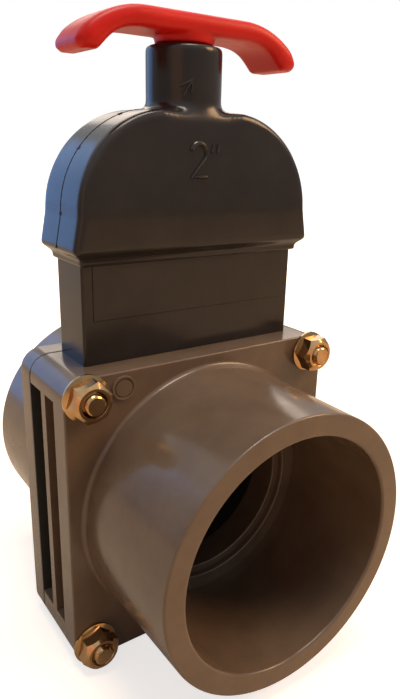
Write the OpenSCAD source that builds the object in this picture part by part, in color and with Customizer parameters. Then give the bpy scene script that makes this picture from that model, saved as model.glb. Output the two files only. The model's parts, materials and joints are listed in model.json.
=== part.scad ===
// Pull-type slide valve: two flanged pipe sockets clamped round a sliding gate,
// with a housing and bonnet above for the gate to rise into and a T handle on its rod.
// Sizes are in millimetres. X runs across the valve, Y along the pipe and Z up.
// The front socket faces -Y. The origin is on the floor, midway between the sockets.

/* [Pipe sockets] */
// Bore of each socket, which is the outside diameter of the pipe
socket_d = 63; // [56:0.5:76]
// Length of pipe that a socket takes, from its mouth to the stop
socket_depth = 36.4; // [20:0.2:60]
// Wall of a socket at its mouth
socket_wall = 5.9; // [3:0.1:9]
// How much thicker the wall is where it meets the flange
socket_draft = 0.45; // [0:0.05:2]
// Distance from the pipe stop to the flange's outer face
stop_stand = 2.15; // [1:0.05:6]
// Diameter of the step just inside the pipe stop
step_d = 54.4; // [51:0.2:55.8]
// Depth of that step
step_depth = 1.8; // [0.5:0.1:3]
// Fillet where a socket meets its flange
root_fillet = 1.2; // [0.2:0.1:3]
// Rounding of the mouth's outer edge
mouth_round = 0.6; // [0.2:0.1:1.5]
// Chamfer on the mouth's inner edge
mouth_chamfer = 0.8; // [0.2:0.1:1.5]

/* [Gate] */
// Diameter of the waterway that the gate closes
waterway_d = 50; // [30:1:50]
// How far the gate laps over the waterway's edge, at its sides and foot
gate_lap = 4.6; // [2:0.1:8]
// How far the gate laps over the waterway's edge at its top
gate_top_lap = 5.5; // [2:0.1:8]
// Thickness of the gate
gate_t = 3; // [2:0.1:5]
// How far the foot of the raised gate stands above the waterway
lift_clear = 1; // [0:0.1:4]
// Radius of the gate's upper corners
gate_corner_r = 14; // [4:0.5:17]
// Width of the tab that the pull rod grips
tab_w = 14; // [10:0.5:20]
// Height of that tab above the gate
tab_h = 9; // [7:0.5:14]
// Gap between the gate's edge and the housing's inner wall
gate_side_gap = 0.4; // [0.3:0.05:1]
// Diameter of the rivet that holds the rod on the tab
rivet_d = 3; // [2:0.5:4]

/* [Seals] */
// Thickness of each gate seal
seal_t = 4.7; // [3:0.1:7]
// Thickness of the gasket between the two body halves
gasket_t = 0.5; // [0.3:0.1:1]
// Gap between a seal's face and the gate
seal_gap = 0.25; // [0.2:0.05:0.5]
// How far a seal's bore stands back from the waterway
seal_setback = 0.5; // [0.2:0.1:1.5]
// Outside diameter of the rod seal
rod_seal_d = 13.2; // [12:0.2:15]
// Height of the rod seal
rod_seal_h = 3; // [2:0.5:5]

/* [Flanged body] */
// Thickness of each flange plate at its edge
plate_t = 6.7; // [4:0.1:10]
// Extra thickness of a plate behind the gate pocket
pocket_floor = 1.7; // [1:0.1:4]
// Wall of the gate pocket between the plates
pocket_wall = 3.4; // [2:0.1:5]
// Height of solid plate below the gate pocket
foot_wall = 9.85; // [8:0.05:14]
// Thickness of the rib that runs round the body between the plates
rib_t = 2.7; // [1.5:0.1:4]
// Distance of that rib's middle in front of the gate's plane
rib_offset = 1.1; // [0:0.1:2]
// How far the solid corners at the top reach below their bolts' axes
top_corner_reach = 2.3; // [1:0.1:6]
// How far the solid corners at the foot reach above and inside their bolts' axes
foot_corner_reach = 4.5; // [3.5:0.1:6]
// Radius of the body's corners
flange_corner_r = 5.7; // [2:0.1:8]

/* [Bolts] */
// Nominal diameter of the clamping bolts
bolt_d = 5; // [5:0.5:6]
// How far a bolt stands out of its nut
bolt_out = 0.9; // [0.5:0.1:6]
// Wall between the gate pocket and a bolt hole
bolt_wall = 1.65; // [1:0.05:4]
// Distance from a bolt's axis to the flange's side edge
bolt_edge = 5.6; // [5.5:0.1:8]
// Smallest gap between a nut and the foot of a socket
nut_clear = 0.5; // [0.3:0.1:4]
// Gap between a bolt and its hole, on the radius
bolt_gap = 0.2; // [0.1:0.05:0.5]
// Chamfer on a bolt's end
bolt_chamfer = 0.6; // [0.2:0.1:1.2]
// Width across the flats of the nuts
nut_w = 9.5; // [9:0.1:10]
// Width across the flats of the bolt heads
head_w = 8; // [7:0.1:8]
// How far the outer end of a bolt head is turned in at its corners
head_corner_turn = 0.6; // [0.2:0.05:1.2]
// How far the outer end of a nut is turned in at its corners
nut_corner_turn = 1.4; // [0.2:0.05:1.5]
// Slope of those turned corners
corner_slope = 45; // [25:5:45]
// Height of a bolt head
head_h = 4; // [3:0.1:4.4]
// How far a bolt head lies below the rear plate's face, in its pocket
head_sink = 0.3; // [0:0.1:0.8]
// Gap between a bolt head and the sides of its pocket
head_gap = 0.15; // [0.1:0.05:0.4]
// Height of a flange nut
nut_h = 5.6; // [4:0.1:8]
// Diameter of a nut's flange
nut_flange_d = 12; // [11:0.1:16]
// Thickness of that flange at its rim
nut_rim_t = 0.6; // [0.4:0.1:1.5]
// Height of the flange's sloping part
nut_cone_h = 0.4; // [0.3:0.1:2]
// Angle at which each nut came to rest: top left, top right, foot left, foot right
nut_turn = [14, 2, 18, 47];

/* [Gate housing] */
// Wall of the housing's tongue, inside the body
tongue_wall = 2; // [1.5:0.1:3]
// How much the housing steps out above its tongue
housing_step = 1.1; // [0.6:0.1:3]
// How far the tongue goes down into the body
tongue_l = 9.05; // [6:0.05:14]
// How far the housing goes up into the bonnet
housing_top_l = 11.5; // [6:0.5:16]
// Gap between pieces that are fitted into each other
fit_gap = 0.05; // [0.02:0.01:0.15]
// Height of the raised panel on the housing's two faces
panel_h = 13.9; // [6:0.1:20]
// How far the panel stands out
panel_t = 0.3; // [0.2:0.05:0.5]
// Margin between the panel and the housing's edges
panel_margin = 2.8; // [1:0.1:6]

/* [Bonnet] */
// Height of the bonnet from its lip to its flat top
bonnet_h = 36.7; // [30:0.1:50]
// Room left above the raised gate's tab
bonnet_room = 5.6; // [2:0.1:12]
// Wall of the bonnet
bonnet_wall = 2.6; // [2:0.1:4]
// How far the bonnet's lip stands out from the housing
lip_out = 0.7; // [0.4:0.1:1.5]
// Height of that lip
lip_h = 1.7; // [1:0.1:4]
// How far the bonnet stands out from its lip
bevel_out = 2.35; // [1:0.05:4]
// Height of the bevel between the lip and the bonnet's side
bevel_h = 2; // [1:0.1:4]
// Radius of the bonnet's shoulders
shoulder_r = 24.8; // [18:0.1:26]
// How far each side leans in below the shoulder
side_draft = 1.6; // [0:0.1:3]
// How far each face leans in from the bevel to the top
face_draft = 1.15; // [0:0.05:2]
// Diameter of the neck that the rod passes through
neck_d = 19.4; // [17:0.2:24]
// Height of the neck above the bonnet
neck_h = 15; // [8:0.5:25]
// How far the neck's boss goes down inside the bonnet
boss_h = 3; // [0:0.5:5]
// Fillet at the foot of the neck
neck_fillet = 1.8; // [0.5:0.1:3]
// Rounding of the neck's top edge
neck_round = 1.2; // [0.3:0.1:2]

/* [Rod and handle] */
// Diameter of the pull rod
rod_d = 8; // [6:0.5:10]
// Running gap round the rod, on the radius
rod_gap = 0.06; // [0.02:0.01:0.1]
// Gap below the rod's two prongs
prong_gap = 0.4; // [0.2:0.1:1]
// Depth to which the rod is screwed into the handle
rod_grip = 4.6; // [3:0.1:6]
// Length of the handle from tip to tip
handle_l = 63.6; // [50:0.2:90]
// Width of the handle along the pipe
handle_w = 16; // [15:0.5:24]
// Thickness of the handle's bar
handle_t = 4.8; // [4:0.1:8]
// Thickness of the bar where it ends at a tip
tip_w = 5; // [4:0.1:8]
// Rounding of each tip's outer corner
tip_round = 1.5; // [0.5:0.1:2]
// How far the handle's tips droop below its top
handle_droop = 10.6; // [8:0.1:14]
// Length of the handle's straight middle
handle_flat = 29; // [20:0.5:40]
// Diameter of the hub under the handle
hub_d = 15; // [13:0.2:18]
// Height of that hub
hub_h = 1.9; // [1:0.1:6]
// Gap between the hub and the neck when the valve is shut
rest_gap = 0.3; // [0.2:0.1:0.5]

/* [Hidden] */
$fn = 96;
eps = 0.01;
over = 1;

// Gate, pocket and housing, from the waterway outwards
waterway_r = waterway_d / 2;
gate_r = waterway_r + gate_lap;
gate_top = waterway_r + gate_top_lap;
tongue_in_x = gate_r + gate_side_gap;
tongue_x = tongue_in_x + tongue_wall;
pocket_x = tongue_x + fit_gap;
pocket_y = gate_t / 2 + seal_gap + seal_t;
tongue_y = pocket_y - fit_gap;
tongue_in_y = tongue_y - tongue_wall;
housing_x = tongue_x + housing_step;
housing_y = tongue_y + housing_step;
seal_r = pocket_x - fit_gap;
tongue_foot = seal_r + seal_gap;
travel = gate_r + waterway_r + lift_clear;

// Flanged body, measured from the bore's axis
socket_r = socket_d / 2;
mouth_r = socket_r + socket_wall;
root_r = mouth_r + socket_draft;
socket_reach = root_r + root_fillet;
bolt_hole_r = bolt_d / 2 + bolt_gap;
nut_reach = (socket_reach + nut_clear + nut_flange_d / 2) / sqrt(2);
bolt_half = max(pocket_x + bolt_wall + bolt_hole_r, nut_reach);
flange_x = max(bolt_half + bolt_edge, socket_reach);
flange_top = max(tongue_foot + tongue_l, socket_reach);
flange_foot = -max(pocket_x + foot_wall, socket_reach);
plate_in_y = pocket_y + pocket_floor;
plate_out_y = plate_in_y + plate_t;
stop_y = plate_out_y + stop_stand;
mouth_y = stop_y + socket_depth;
rib_y = [-rib_offset - rib_t / 2, -rib_offset + rib_t / 2];
joint_y = [plate_in_y - gasket_t, plate_in_y];

// Height of the bore's axis above the floor, which the lower nuts' flanges touch
axis_z = max(-flange_foot, bolt_half + nut_flange_d / 2);

// Bonnet, measured from the bore's axis
bonnet_top = gate_top + tab_h + travel + bonnet_room + bonnet_wall;
lip_z = bonnet_top - bonnet_h;
bevel_z = lip_z + lip_h;
side_z = bevel_z + bevel_h;
housing_top = lip_z + housing_top_l;
bonnet_x = housing_x + lip_out + bevel_out;
bonnet_y = housing_y + lip_out + bevel_out;
shoulder_x = bonnet_x - side_draft;
shoulder_z = bonnet_top - shoulder_r;
neck_top = bonnet_top + neck_h;

// Rod and handle, measured from the bore's axis
hub_foot = neck_top + rest_gap;
bar_foot = hub_foot + hub_h;
handle_top = bar_foot + handle_t;
rod_foot = max(gate_top, seal_r) + prong_gap;
rod_top = hub_foot + rod_grip;

// The four corners: top left, top right, foot left, foot right
CORNERS = [[-1, 1], [1, 1], [-1, -1], [1, -1]];

// Points of an arc about a centre, from one angle to another
function arc(c, r, a0, a1, n) =
    [for (i = [0 : n]) let (a = a0 + (a1 - a0) * i / n) c + r * [cos(a), sin(a)]];

// Points of a cubic curve between two points with two guide points
function curve(p0, p1, p2, p3, n) =
    [for (i = [0 : n]) let (t = i / n, u = 1 - t)
        u * u * u * p0 + 3 * u * u * t * p1 + 3 * u * t * t * p2 + t * t * t * p3];

// A list of half-outline points closed by its mirror image across x = 0
function both_sides(p) =
    concat(p, [for (i = [len(p) - 1 : -1 : 0]) [-p[i][0], p[i][1]]]);

// Raises a shape drawn about the bore's axis to its height above the floor
module raise() {
    translate([0, 0, axis_z]) children();
}

// Extrudes an X-Z outline along the pipe from y0 to y1
module slab(y0, y1) {
    translate([0, y1, 0]) rotate([90, 0, 0]) linear_extrude(y1 - y0) children();
}

// Turns a radius-and-distance profile about the pipe's axis, distance counted towards -Y
module turn_about_pipe() {
    rotate([90, 0, 0]) rotate_extrude($fn = 160) children();
}

// Moves a shape to one bolt's axis
module at_bolt(corner) {
    translate([corner[0] * bolt_half, 0, corner[1] * bolt_half]) children();
}

// Outline of the body: a rectangle with round corners
module flange_outline() {
    x = flange_x - flange_corner_r;
    top = flange_top - flange_corner_r;
    foot = flange_foot + flange_corner_r;
    polygon(concat(
        arc([x, top], flange_corner_r, 0, 90, 12),
        arc([-x, top], flange_corner_r, 90, 180, 12),
        arc([-x, foot], flange_corner_r, 180, 270, 12),
        arc([x, foot], flange_corner_r, 270, 360, 12)));
}

// Outline of the gate pocket: straight sides, a half-round foot and an open top
module pocket_outline(grow, top) {
    circle(r = pocket_x + grow);
    translate([-pocket_x - grow, 0]) square([2 * (pocket_x + grow), top]);
}

// One solid corner on one side, from an inner edge out to the flange's side
module corner_block(side, inner_x, z0, z1) {
    w = flange_x - inner_x;
    translate([side * (inner_x + w / 2), (z0 + z1) / 2]) square([w, z1 - z0], center = true);
}

// The solid corners of the body that the bolts pass through
module corner_outline() {
    for (side = [-1, 1]) {
        corner_block(side, pocket_x - eps, bolt_half - top_corner_reach, flange_top);
        corner_block(side, bolt_half - foot_corner_reach, flange_foot, foot_corner_reach - bolt_half);
    }
}

// Everything of the front half that lies between the two flange plates
module ribbed_outline() {
    intersection() {
        flange_outline();
        union() {
            pocket_outline(pocket_wall, flange_top);
            corner_outline();
        }
    }
}

// Profile of a socket's outside, from the flange's face to the mouth
module socket_profile() {
    polygon(concat(
        [[0, plate_in_y + eps], [socket_reach, plate_in_y + eps]],
        arc([socket_reach, plate_out_y + root_fillet], root_fillet, 270, 180, 8),
        arc([mouth_r - mouth_round, mouth_y - mouth_round], mouth_round, 0, 90, 6),
        [[0, mouth_y]]));
}

// Profile of a socket's bore: pipe bore, stop, step and waterway
module bore_profile() {
    polygon([
        [0, pocket_y - over],
        [waterway_r, pocket_y - over],
        [waterway_r, stop_y - step_depth],
        [step_d / 2, stop_y - step_depth],
        [step_d / 2, stop_y],
        [socket_r, stop_y],
        [socket_r, mouth_y - mouth_chamfer],
        [socket_r + mouth_chamfer + eps, mouth_y + eps],
        [0, mouth_y + eps]
    ]);
}

// The four bolt holes, bored right through
module bolt_holes() {
    for (corner = CORNERS)
        at_bolt(corner) rotate([90, 0, 0])
            cylinder(r = bolt_hole_r, h = 2 * (plate_out_y + over), center = true);
}

// Hexagonal pockets in the rear plate that keep the bolt heads from turning
module head_pockets() {
    pocket_d = (head_w + 2 * head_gap) / cos(30);
    for (corner = CORNERS)
        at_bolt(corner) translate([0, plate_out_y + over, 0]) rotate([90, 0, 0])
            cylinder(d = pocket_d, h = over + head_sink + head_h, $fn = 6);
}

// Front half: socket, flange plate, gate pocket, rib and corners, down to the joint
module front_body() {
    color([0.40, 0.36, 0.31]) raise() difference() {
        union() {
            slab(-plate_out_y, -plate_in_y) flange_outline();
            slab(-plate_in_y - eps, joint_y[0]) ribbed_outline();
            slab(rib_y[0], rib_y[1]) flange_outline();
            turn_about_pipe() socket_profile();
        }
        slab(-pocket_y, plate_in_y + over) pocket_outline(0, flange_top + over);
        turn_about_pipe() bore_profile();
        bolt_holes();
    }
}

// Rear half: socket, flange plate and the pad that closes the gate pocket
module rear_body() {
    color([0.40, 0.36, 0.31]) raise() difference() {
        union() {
            slab(joint_y[1], plate_out_y) flange_outline();
            slab(pocket_y, joint_y[1] + eps) intersection() {
                pocket_outline(-fit_gap, flange_top);
                flange_outline();
            }
            mirror([0, 1, 0]) turn_about_pipe() socket_profile();
        }
        mirror([0, 1, 0]) turn_about_pipe() bore_profile();
        bolt_holes();
        head_pockets();
    }
}

// A box centred on the valve's axis, given by its half sizes and its two heights
module tower(x, y, z0, z1) {
    translate([-x, -y, z0]) cube([2 * x, 2 * y, z1 - z0]);
}

// Housing: a rectangular sleeve with a tongue in the body and a panel on each face
module gate_housing() {
    panel_x = housing_x - panel_margin;
    color([0.20, 0.18, 0.17]) raise() difference() {
        union() {
            tower(tongue_x, tongue_y, tongue_foot, housing_top);
            tower(housing_x, housing_y, flange_top, housing_top);
            tower(panel_x, housing_y + panel_t, lip_z - panel_h, lip_z);
        }
        tower(tongue_in_x, tongue_in_y, tongue_foot - over, housing_top + over);
    }
}

// Front outline of the bonnet, from its lip to its flat top
module bonnet_outline(shrink, foot) {
    c = [shoulder_x - shoulder_r, shoulder_z];
    polygon(both_sides(concat(
        foot,
        [[bonnet_x - shrink, side_z]],
        arc(c, shoulder_r - shrink, 0, 90, 24))));
}

// Side outline of the bonnet: both faces lean in towards the top
module bonnet_side(shrink, foot) {
    polygon(both_sides(concat(
        foot,
        [[bonnet_y - shrink, side_z], [bonnet_y - face_draft - shrink, bonnet_top]])));
}

// The bonnet's solid form, where its front and side outlines meet
module bonnet_form(shrink, foot_x, foot_y) {
    intersection() {
        slab(-bonnet_y - over, bonnet_y + over) bonnet_outline(shrink, foot_x);
        translate([-bonnet_x - over, 0, 0]) rotate([90, 0, 90])
            linear_extrude(2 * (bonnet_x + over)) bonnet_side(shrink, foot_y);
    }
}

// Profile of the neck, turned about the rod, with its boss inside the bonnet
module neck_profile() {
    r = neck_d / 2;
    boss_foot = bonnet_top - bonnet_wall - boss_h;
    polygon(concat(
        [[0, boss_foot], [r, boss_foot]],
        [[r, bonnet_top - neck_fillet], [r + neck_fillet, bonnet_top - eps]],
        arc([r + neck_fillet, bonnet_top + neck_fillet], neck_fillet, 270, 180, 8),
        arc([r - neck_round, neck_top - neck_round], neck_round, 0, 90, 8),
        [[0, neck_top]]));
}

// Bonnet: hollow cap over the housing, with the neck and its seal seat on top
module bonnet_cap() {
    lip_x = housing_x + lip_out;
    lip_y = housing_y + lip_out;
    lip_foot_x = [[lip_x, lip_z], [lip_x, bevel_z]];
    lip_foot_y = [[lip_y, lip_z], [lip_y, bevel_z]];
    color([0.20, 0.18, 0.17]) raise() difference() {
        union() {
            bonnet_form(0, lip_foot_x, lip_foot_y);
            intersection() {
                rotate_extrude() neck_profile();
                tower(bonnet_x, neck_d, lip_z, neck_top + over);
            }
        }
        tower(housing_x + fit_gap, housing_y + fit_gap, lip_z - over, housing_top);
        bonnet_room_form();
        translate([0, 0, lip_z]) cylinder(r = rod_d / 2 + 2 * rod_gap, h = neck_top);
        translate([0, 0, neck_top - rod_seal_h]) cylinder(r = rod_seal_d / 2 + fit_gap, h = neck_h);
    }
}

// The hollow above the housing that the gate rises into
module bonnet_room_form() {
    c = [shoulder_x - shoulder_r, shoulder_z];
    room_x = shoulder_x - bonnet_wall;
    room_y = bonnet_y - face_draft - bonnet_wall;
    intersection() {
        slab(-room_y, room_y) polygon(both_sides(concat(
            [[room_x, housing_top - eps]],
            arc(c, shoulder_r - bonnet_wall, 0, 90, 24))));
        tower(bonnet_x, room_y, housing_top - eps, bonnet_top);
    }
}

// Gasket between the two halves: the outline of the flanges with the gate pocket cut out
module body_gasket() {
    color([0.09, 0.09, 0.09]) raise() difference() {
        slab(joint_y[0], joint_y[1]) flange_outline();
        slab(joint_y[0] - over, joint_y[1] + over) pocket_outline(0, flange_top + over);
        bolt_holes();
    }
}

// Ring seal between a body half and the gate
module ring_seal(side) {
    y = side < 0 ? -pocket_y : pocket_y - seal_t;
    color([0.09, 0.09, 0.09]) raise() translate([0, y + seal_t, 0]) rotate([90, 0, 0]) difference() {
        cylinder(r = seal_r, h = seal_t);
        translate([0, 0, -over]) cylinder(r = waterway_r + seal_setback, h = seal_t + 2 * over);
    }
}

module front_seal() {
    ring_seal(-1);
}

module rear_seal() {
    ring_seal(1);
}

// Wiper ring round the rod in the top of the neck
module rod_seal() {
    color([0.09, 0.09, 0.09]) raise() translate([0, 0, neck_top - rod_seal_h]) difference() {
        cylinder(r = rod_seal_d / 2, h = rod_seal_h);
        translate([0, 0, -over]) cylinder(r = rod_d / 2 + rod_gap, h = rod_seal_h + 2 * over);
    }
}

// Gate: a flat plate with a half-round foot, round shoulders and a tab for the rod
module gate_blade() {
    c = [gate_r - gate_corner_r, gate_top - gate_corner_r];
    color([0.16, 0.15, 0.14]) raise() difference() {
        slab(-gate_t / 2, gate_t / 2) {
            polygon(both_sides(concat(
                arc([0, 0], gate_r, -90, 0, 40),
                arc(c, gate_corner_r, 0, 90, 12))));
            translate([-tab_w / 2, gate_top - over]) square([tab_w, tab_h + over]);
        }
        rivet_hole();
    }
}

// Rod: a round bar, slotted at its foot to straddle the gate's tab
module pull_rod() {
    color([0.75, 0.75, 0.74]) raise() difference() {
        translate([0, 0, rod_foot]) cylinder(d = rod_d, h = rod_top - rod_foot);
        tower(rod_d, gate_t / 2, rod_foot - over, gate_top + tab_h);
        rivet_hole();
    }
}

// The hole that the rivet fills
module rivet_hole() {
    slab(-rod_d, rod_d) translate([0, gate_top + tab_h / 2]) circle(d = rivet_d, $fn = 32);
}

// Rivet through the rod's two prongs and the tab between them
module rod_rivet() {
    color([0.75, 0.75, 0.74]) raise() slab(-rod_d / 2, rod_d / 2)
        translate([0, gate_top + tab_h / 2]) circle(d = rivet_d, $fn = 32);
}

// Outline of the handle seen along the pipe: a bar whose two ends droop.
// Each end has a curve below, from the flat to the tip, and another above, back to the flat.
module handle_outline() {
    tip_x = handle_l / 2;
    tip_z = handle_top - handle_droop;
    flat_x = handle_flat / 2;
    heel_x = tip_x - tip_w;
    bend = (tip_x - flat_x) / 2;
    rise = handle_droop / 4;
    polygon(both_sides(concat(
        [[0, bar_foot]],
        curve([flat_x, bar_foot], [heel_x - bend / 2, bar_foot],
            [heel_x - bend / 3, tip_z + rise], [heel_x, tip_z + eps], 12),
        arc([tip_x - tip_round, tip_z + tip_round], tip_round, 270, 380, 6),
        curve([tip_x - tip_round / 4, tip_z + rise], [tip_x - tip_round, tip_z + 2 * rise],
            [flat_x + bend, handle_top], [flat_x, handle_top], 14),
        [[0, handle_top]])));
}

// Handle: the drooping bar with a hub that is screwed onto the rod
module handle() {
    color([0.84, 0.14, 0.10]) raise() difference() {
        union() {
            slab(-handle_w / 2, handle_w / 2) handle_outline();
            translate([0, 0, hub_foot]) cylinder(d = hub_d, h = hub_h + eps);
        }
        translate([0, 0, hub_foot - over]) cylinder(r = rod_d / 2 + fit_gap, h = rod_grip + over);
    }
}

// Bolt: hexagon head sunk in the rear plate, shank through to the nut
module bolt(corner) {
    seat_y = plate_out_y - head_sink - head_h;
    bolt_l = seat_y + plate_out_y + nut_h + bolt_out;
    shank = [
        [0, 0],
        [bolt_d / 2, 0],
        [bolt_d / 2, bolt_l - bolt_chamfer],
        [bolt_d / 2 - bolt_chamfer, bolt_l],
        [0, bolt_l]
    ];
    color([0.78, 0.68, 0.46]) raise() at_bolt(corner) translate([0, seat_y, 0]) rotate([90, 0, 0]) {
        rotate_extrude() polygon(shank);
        mirror([0, 0, 1]) hexagon(head_w, head_h, head_corner_turn);
    }
}

// Hexagonal block of one width across its flats, with the corners of its outer end turned down
module hexagon(w, h, corner_turn) {
    corner_r = w / sqrt(3);
    turn_h = corner_turn * tan(corner_slope);
    profile = [
        [0, 0],
        [corner_r + eps, 0],
        [corner_r + eps, h - turn_h],
        [corner_r - corner_turn, h],
        [0, h]
    ];
    intersection() {
        cylinder(r = corner_r, h = h, $fn = 6);
        rotate_extrude() polygon(profile);
    }
}

// Flange nut: a hexagon on a sloping round flange, screwed up to the front plate
module nut(corner, turn) {
    rim_r = nut_flange_d / 2;
    flange = [
        [0, 0],
        [rim_r, 0],
        [rim_r, nut_rim_t],
        [nut_w / 2, nut_rim_t + nut_cone_h],
        [0, nut_rim_t + nut_cone_h]
    ];
    color([0.80, 0.68, 0.42]) raise() at_bolt(corner)
        translate([0, -plate_out_y, 0]) rotate([90, 0, 0]) difference() {
            union() {
                rotate_extrude() polygon(flange);
                rotate([0, 0, turn]) translate([0, 0, nut_rim_t / 2])
                    hexagon(nut_w, nut_h - nut_rim_t / 2, nut_corner_turn);
            }
            translate([0, 0, -over]) cylinder(r = bolt_d / 2 + fit_gap, h = nut_h + 2 * over);
        }
}

front_body();
rear_body();
gate_housing();
bonnet_cap();
front_seal();
rear_seal();
rod_seal();
body_gasket();
gate_blade();
pull_rod();
rod_rivet();
handle();
bolt(CORNERS[0]);  // bolt_top_left
bolt(CORNERS[1]);  // bolt_top_right
bolt(CORNERS[2]);  // bolt_foot_left
bolt(CORNERS[3]);  // bolt_foot_right
nut(CORNERS[0], nut_turn[0]);  // nut_top_left
nut(CORNERS[1], nut_turn[1]);  // nut_top_right
nut(CORNERS[2], nut_turn[2]);  // nut_foot_left
nut(CORNERS[3], nut_turn[3]);  // nut_foot_right
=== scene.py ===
import json
import math

import bmesh
import bpy
from mathutils import Euler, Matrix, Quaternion, Vector


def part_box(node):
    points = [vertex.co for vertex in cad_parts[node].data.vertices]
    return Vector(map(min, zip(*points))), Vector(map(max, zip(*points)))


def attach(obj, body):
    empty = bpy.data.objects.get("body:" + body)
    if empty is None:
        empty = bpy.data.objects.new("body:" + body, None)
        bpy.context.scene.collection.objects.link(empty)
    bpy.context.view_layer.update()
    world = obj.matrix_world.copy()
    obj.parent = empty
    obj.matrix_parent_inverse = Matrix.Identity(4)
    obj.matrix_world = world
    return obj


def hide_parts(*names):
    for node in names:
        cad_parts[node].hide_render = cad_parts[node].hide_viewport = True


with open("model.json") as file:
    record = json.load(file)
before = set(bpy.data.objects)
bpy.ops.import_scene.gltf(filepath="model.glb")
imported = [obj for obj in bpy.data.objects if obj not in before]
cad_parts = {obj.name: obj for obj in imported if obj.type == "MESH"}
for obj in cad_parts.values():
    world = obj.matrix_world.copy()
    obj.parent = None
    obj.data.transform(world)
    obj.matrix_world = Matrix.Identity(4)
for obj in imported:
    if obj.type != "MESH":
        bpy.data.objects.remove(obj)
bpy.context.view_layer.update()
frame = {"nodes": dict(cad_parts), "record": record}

# The camera stands a hand's breadth in front of the valve and to its left, at bonnet
# height. It looks down on the valve a little, with a moderately wide lens held almost level.
azimuth = -0.630
elevation = 0.315
roll = 0.032
lens = bpy.data.cameras.new("camera")
lens.sensor_fit = "VERTICAL"
lens.sensor_height = 36
lens.lens = 32.6
lens.shift_x = -0.0261
lens.clip_start = 0.01
camera = bpy.data.objects.new("camera", lens)
bpy.context.collection.objects.link(camera)
camera.location = (-0.09398, -0.14753, 0.13813)
camera.rotation_mode = "QUATERNION"
level = Euler((math.pi / 2 - elevation, 0, azimuth)).to_quaternion()
camera.rotation_quaternion = level @ Quaternion((0, 0, 1), roll)
bpy.context.scene.camera = camera


# The studio: a wide pale floor and a white surround, lit by soft boxes from above, from the
# right and from the left, the last two warm, and by two dim ones from behind, the left of them
# cool. What mirrors the surround sees it white overhead and dimmer towards the walls.
def linear(hex_colour):
    """Turns an sRGB hex value into the linear colour that shaders take."""
    channels = [int(hex_colour[i : i + 2], 16) / 255 for i in (0, 2, 4)]
    return tuple(c / 12.92 if c <= 0.04045 else ((c + 0.055) / 1.055) ** 2.4 for c in channels) + (1,)


def add_node(tree, kind, inputs=None, **settings):
    """Adds a node with its settings. Each input gets a value, or a link from another node's output."""
    node = tree.nodes.new(kind)
    for name, value in settings.items():
        setattr(node, name, value)
    for name, value in (inputs or {}).items():
        if isinstance(value, bpy.types.NodeSocket):
            tree.links.new(value, node.inputs[name])
        else:
            node.inputs[name].default_value = value
    return node


def new_material(name):
    """Adds an empty node material. Returns it and its node tree."""
    material = bpy.data.materials.new(name)
    material.use_nodes = True
    material.node_tree.nodes.clear()
    return material, material.node_tree


def seen_directly(tree, mirrored_share):
    """1 for camera rays and a share of that for glossy and transmission rays, which mirror things."""
    path = add_node(tree, "ShaderNodeLightPath")
    mirrored = add_node(
        tree,
        "ShaderNodeMath",
        {0: path.outputs["Is Glossy Ray"], 1: path.outputs["Is Transmission Ray"]},
        operation="MAXIMUM",
    )
    return add_node(
        tree,
        "ShaderNodeMath",
        {0: mirrored.outputs[0], 1: mirrored_share, 2: path.outputs["Is Camera Ray"]},
        operation="MULTIPLY_ADD",
    ).outputs[0]


world = bpy.data.worlds.new("studio")
world.use_nodes = True
bpy.context.scene.world = world
tree = world.node_tree
tree.nodes.clear()
room_light = add_node(tree, "ShaderNodeBackground", {"Color": linear("FFFFFF"), "Strength": 0.2})
surround = add_node(tree, "ShaderNodeBackground", {"Color": linear("FFFFFF"), "Strength": 1.0})
direction = add_node(tree, "ShaderNodeTexCoord").outputs["Generated"]
height = add_node(tree, "ShaderNodeSeparateXYZ", {0: direction}).outputs["Z"]
ceiling = add_node(
    tree,
    "ShaderNodeMapRange",
    {"Value": height, "From Min": 0.1, "From Max": 0.7, "To Min": 0.3, "To Max": 1.0},
    interpolation_type="SMOOTHSTEP",
)
seen = seen_directly(tree, ceiling.outputs[0])
both = add_node(tree, "ShaderNodeMixShader", {0: seen, 1: room_light.outputs[0], 2: surround.outputs[0]})
add_node(tree, "ShaderNodeOutputWorld", {"Surface": both.outputs[0]})

bpy.ops.object.select_all(action="DESELECT")
bpy.ops.mesh.primitive_plane_add(size=12, location=(0, 0, 0))
floor = bpy.context.object
floor.name = "floor"
paint, tree = new_material("matt_white_floor")
matt = add_node(tree, "ShaderNodeBsdfDiffuse", {"Color": linear("E2CDB0")})
place = add_node(tree, "ShaderNodeTexCoord").outputs["Object"]
from_valve = add_node(tree, "ShaderNodeVectorMath", {0: place}, operation="LENGTH")
far = add_node(
    tree,
    "ShaderNodeMapRange",
    {"Value": from_valve.outputs["Value"], "From Min": 0.1, "From Max": 0.5, "To Min": 0.72, "To Max": 1.0},
)
lift = add_node(tree, "ShaderNodeEmission", {"Color": linear("FFFFFF"), "Strength": far.outputs[0]})
lift_seen = add_node(tree, "ShaderNodeMixShader", {0: seen_directly(tree, 0.1), 2: lift.outputs[0]})
lifted = add_node(tree, "ShaderNodeAddShader", {0: matt.outputs[0], 1: lift_seen.outputs[0]})
add_node(tree, "ShaderNodeOutputMaterial", {"Surface": lifted.outputs[0]})
floor.data.materials.append(paint)

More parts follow.
